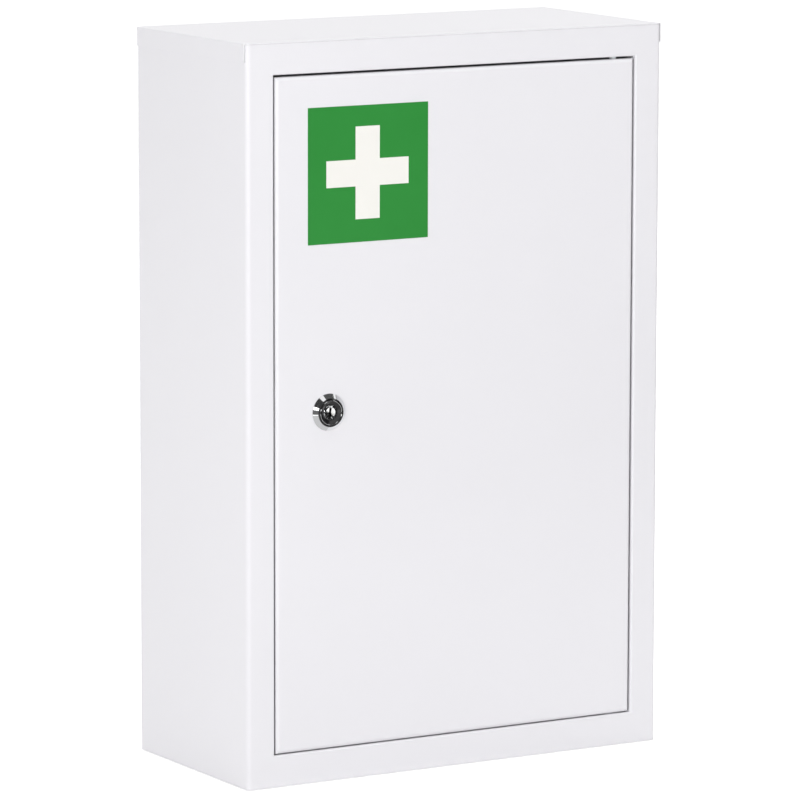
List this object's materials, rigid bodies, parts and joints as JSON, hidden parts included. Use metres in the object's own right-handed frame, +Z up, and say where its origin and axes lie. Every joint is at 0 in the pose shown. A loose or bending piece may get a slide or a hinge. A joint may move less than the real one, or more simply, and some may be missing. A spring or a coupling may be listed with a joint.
{
  "type": "lockable medicine cabinet",
  "caption": "Wall cabinet folded from white sheet steel, with inner shelves, a flush door on hidden pivot pins, a first-aid sign and a turning cam lock.",
  "frame": {"origin": "centre of the underside of the cabinet", "axes": "+Z up, the door faces -Y, the wall is behind +Y, the lock is at -X and the hinge at +X"},
  "size_m": [0.3, 0.1436, 0.46],
  "materials": {
    "white_powder_coat": "satin powder coat",
    "zinc_plated_steel": "bright zinc plating",
    "die_cast_zinc": "plain die casting",
    "polished_chrome": "polished chrome plating",
    "plug_chrome": "chrome plating with key wear",
    "black_plastic": "gloss black moulding",
    "green_vinyl": "satin printed vinyl film",
    "grey_rubber": "soft matt rubber"
  },
  "bodies": {
    "cabinet": {"body_shell": "white_powder_coat", "top_cap": "white_powder_coat", "bottom_panel": "white_powder_coat", "back_panel": "white_powder_coat", "upper_shelf": "white_powder_coat", "lower_shelf": "white_powder_coat", "upper_hinge_pin": "white_powder_coat", "lower_hinge_pin": "white_powder_coat", "upper_hinge_clip": "zinc_plated_steel", "lower_hinge_clip": "zinc_plated_steel", "upper_door_buffer": "grey_rubber", "lower_door_buffer": "grey_rubber"},
    "door": {"door_panel": "white_powder_coat", "upper_hinge_plate": "white_powder_coat", "lower_hinge_plate": "white_powder_coat", "sign_label": "green_vinyl", "lock_bezel": "polished_chrome", "lock_housing": "die_cast_zinc", "lock_face": "black_plastic", "lock_trim_ring": "polished_chrome", "lock_washer": "zinc_plated_steel", "lock_nut": "zinc_plated_steel"},
    "lock_core": {"lock_plug": "plug_chrome", "stop_washer": "zinc_plated_steel", "lock_cam": "zinc_plated_steel", "cam_washer": "zinc_plated_steel", "cam_screw": "zinc_plated_steel"}
  },
  "joints": [
    {"name": "door_hinge", "type": "hinge", "parent": "cabinet", "child": "door", "pos_m": [0.116, -0.06525, 0.0205], "axis": [0, 0, 1], "range_deg": [0, 135]},
    {"name": "lock_turn", "type": "hinge", "parent": "door", "child": "lock_core", "pos_m": [-0.0919, -0.07, 0.2312], "axis": [0, 1, 0], "range_deg": [0, 90]}
  ]
}
